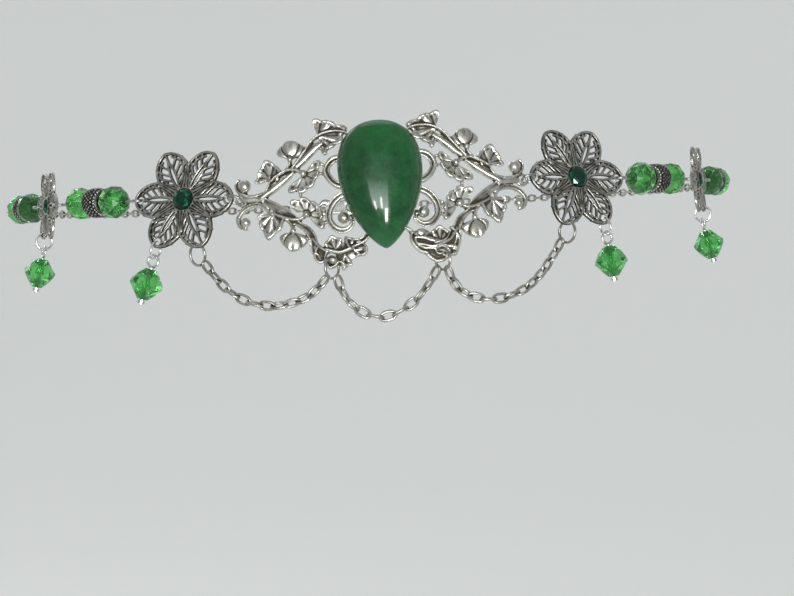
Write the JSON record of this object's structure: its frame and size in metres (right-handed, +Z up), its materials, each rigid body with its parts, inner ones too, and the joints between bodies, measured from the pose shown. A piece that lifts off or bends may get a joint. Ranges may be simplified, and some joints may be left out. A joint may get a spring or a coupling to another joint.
{
  "type": "diadem",
  "caption": "Brow diadem: antique-silver vine filigree plate with a green teardrop stone, pierced flower links, green beads, chain swags, bicone drops and a clasped back chain.",
  "frame": {"origin": "middle of the head opening, at the height of the plate's middle, where the loop sits round the head", "axes": "the plate faces -Y, the clasp is at +Y, +X is the right of the picture, +Z is up the wearer's head"},
  "size_m": [0.1608, 0.1947, 0.0369],
  "materials": {
    "antique_silver": "worn antique silver, dark in the recesses",
    "flower_silver": "dark antique silver lace",
    "granulated_silver": "oxidised silver with bright grains",
    "grey_silver": "grey polished wire",
    "bright_silver": "bright polished wire",
    "chain_silver": "silver cable chain",
    "jade_stone": "polished mottled green stone",
    "emerald_glass": "foil-backed dark green crystal",
    "green_glass": "clear green faceted glass",
    "bright_green_glass": "clear bright green faceted glass"
  },
  "bodies": {
    "root": {"centre_filigree": "antique_silver", "teardrop_stone": "jade_stone", "side_ring_left": "grey_silver", "side_ring_right": "grey_silver", "front_flower_left": "flower_silver", "front_flower_right": "flower_silver", "side_flower_left": "flower_silver", "side_flower_right": "flower_silver", "front_rhinestone_left": "emerald_glass", "front_rhinestone_right": "emerald_glass", "side_rhinestone_left": "emerald_glass", "side_rhinestone_right": "emerald_glass", "front_pin_left": "grey_silver", "front_pin_right": "grey_silver", "back_pin_left": "grey_silver", "back_pin_right": "grey_silver", "front_bead_a_left": "green_glass", "front_bead_a_right": "green_glass", "front_bead_b_left": "green_glass", "front_bead_b_right": "green_glass", "back_bead_a_left": "green_glass", "back_bead_a_right": "green_glass", "back_bead_b_left": "green_glass", "back_bead_b_right": "green_glass", "front_silver_bead_left": "granulated_silver", "front_silver_bead_right": "granulated_silver", "back_silver_bead_left": "granulated_silver", "back_silver_bead_right": "granulated_silver", "front_drop_ring_left": "bright_silver", "front_drop_ring_right": "bright_silver", "side_drop_ring_left": "bright_silver", "side_drop_ring_right": "bright_silver", "front_drop_pin_left": "bright_silver", "front_drop_pin_right": "bright_silver", "side_drop_pin_left": "bright_silver", "side_drop_pin_right": "bright_silver", "front_drop_left": "bright_green_glass", "front_drop_right": "bright_green_glass", "side_drop_left": "bright_green_glass", "side_drop_right": "bright_green_glass", "swag_ring_left": "grey_silver", "swag_ring_right": "grey_silver", "plate_ring_left": "grey_silver", "plate_ring_right": "grey_silver", "swag_left": "chain_silver", "swag_centre": "chain_silver", "swag_right": "chain_silver", "back_chain_left": "chain_silver", "back_chain_right": "chain_silver", "clasp": "grey_silver", "clasp_ring": "grey_silver"}
  },
  "joints": []
}
